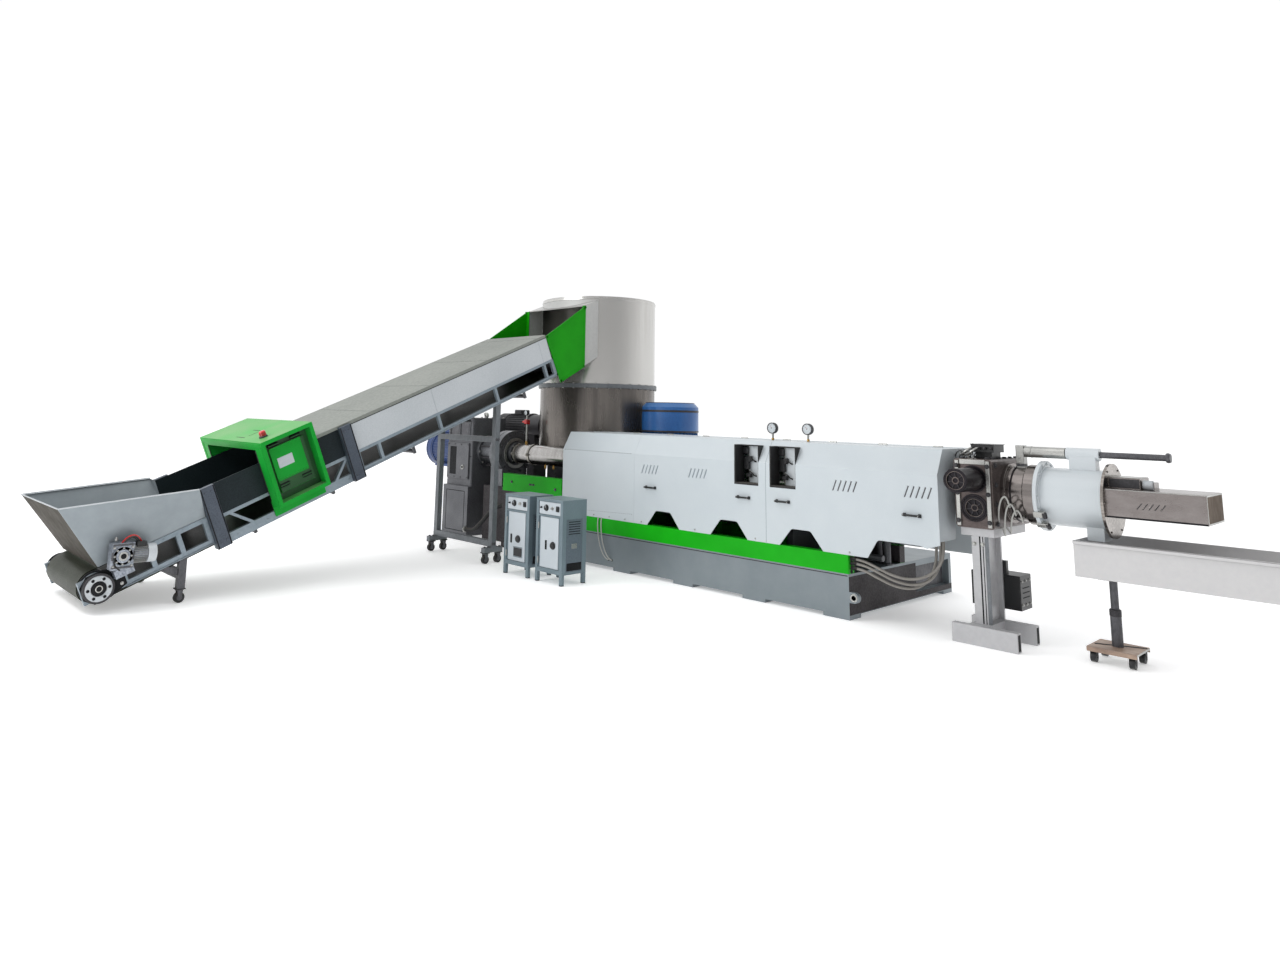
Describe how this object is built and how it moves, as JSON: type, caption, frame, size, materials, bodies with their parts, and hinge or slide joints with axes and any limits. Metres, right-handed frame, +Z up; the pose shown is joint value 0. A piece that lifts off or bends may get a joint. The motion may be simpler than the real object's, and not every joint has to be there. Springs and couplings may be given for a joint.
{
  "type": "plastic pelletizing machine",
  "caption": "Film recycling and pelletizing line: belt feed with metal detector, compactor, covered extruder, screen changer and die-face pelletizer.",
  "frame": {"origin": "on the floor, at the middle of the whole line's footprint", "axes": "+X along the extruder towards the pellet outlet, +Y from the belt's hopper towards the compactor, +Z up"},
  "size_m": [10.16, 6.9733, 3.0323],
  "materials": {
    "base_grey": "grey metallic paint",
    "beacon_red": "clear gloss",
    "belt_rubber": "matt",
    "black_plastic": "matt",
    "bright_steel": "ground",
    "cabinet_blue": "satin paint",
    "cable_grey": "matt sheath",
    "changer_steel": "ground steel",
    "cover_beige": "matt paint",
    "cover_white": "satin light grey paint",
    "dark_iron": "painted",
    "dark_panel": "matt dark paint",
    "frame_grey": "satin grey paint",
    "gearbox_grey": "satin paint",
    "hopper_steel": "brushed",
    "hose_black": "matt corrugated",
    "motor_blue": "gloss blue paint",
    "motor_silver": "cast",
    "panel_grey": "satin paint",
    "pelletizer_white": "gloss paint",
    "rail_green": "gloss green paint",
    "stainless": "brushed",
    "tunnel_green": "gloss green paint"
  },
  "bodies": {
    "line": {"barrel": "stainless", "barrel_saddles": "frame_grey", "base_frame": "base_grey", "beacon": "beacon_red", "belt_bed": "frame_grey", "belt_cover": "cover_beige", "belt_drums": "dark_iron", "cable_1": "cable_grey", "cable_2": "cable_grey", "cable_3": "cable_grey", "changer_stand": "panel_grey", "chute_wings": "tunnel_green", "compactor_floor": "stainless", "compactor_legs": "dark_iron", "compactor_lower_shell": "stainless", "compactor_motor": "motor_blue", "compactor_ring": "stainless", "compactor_roof": "stainless", "compactor_upper_shell": "stainless", "control_cabinet_left": "cabinet_blue", "control_cabinet_right": "cabinet_blue", "conveyor_belt": "belt_rubber", "conveyor_casters": "motor_silver", "conveyor_hopper": "hopper_steel", "conveyor_posts": "frame_grey", "conveyor_stand": "frame_grey", "cover_ends": "cover_white", "cover_handles": "black_plastic", "detector_door": "tunnel_green", "detector_side_panels": "dark_panel", "detector_tunnel": "tunnel_green", "drive_hose": "hose_black", "feed_base": "base_grey", "feed_flange": "dark_iron", "feed_hood": "stainless", "front_cover_left": "cover_white", "front_cover_right": "cover_white", "gearbox": "gearbox_grey", "green_rails": "rail_green", "guide_rod": "bright_steel", "hydraulic_pack": "black_plastic", "lower_frame": "frame_grey", "main_motor": "motor_blue", "outlet_trough": "hopper_steel", "piston_jacks": "dark_iron", "pressure_gauges": "bright_steel", "rear_cover": "cover_white", "screen_changer": "changer_steel", "side_motor": "dark_iron", "tail_gearmotor": "motor_silver", "tail_legs": "frame_grey", "trough_stands": "hopper_steel", "upper_frame": "frame_grey", "upper_side_panels": "panel_grey", "water_ring": "bright_steel"},
    "upper_ram": {"upper_piston": "bright_steel"},
    "lower_ram": {"lower_piston": "bright_steel"},
    "pelletizer_head": {"pelletizer_hood": "pelletizer_white", "end_disc": "bright_steel", "cutter_box": "stainless"}
  },
  "joints": [
    {"name": "hood_slide", "type": "slide", "parent": "line", "child": "pelletizer_head", "axis": [1, 0, 0], "range_m": [0, 0.4]},
    {"name": "upper_ram_slide", "type": "slide", "parent": "line", "child": "upper_ram", "axis": [0, -1, 0], "range_m": [-0.31, 0]},
    {"name": "lower_ram_slide", "type": "slide", "parent": "line", "child": "lower_ram", "axis": [0, -1, 0], "range_m": [0, 0.31]}
  ]
}
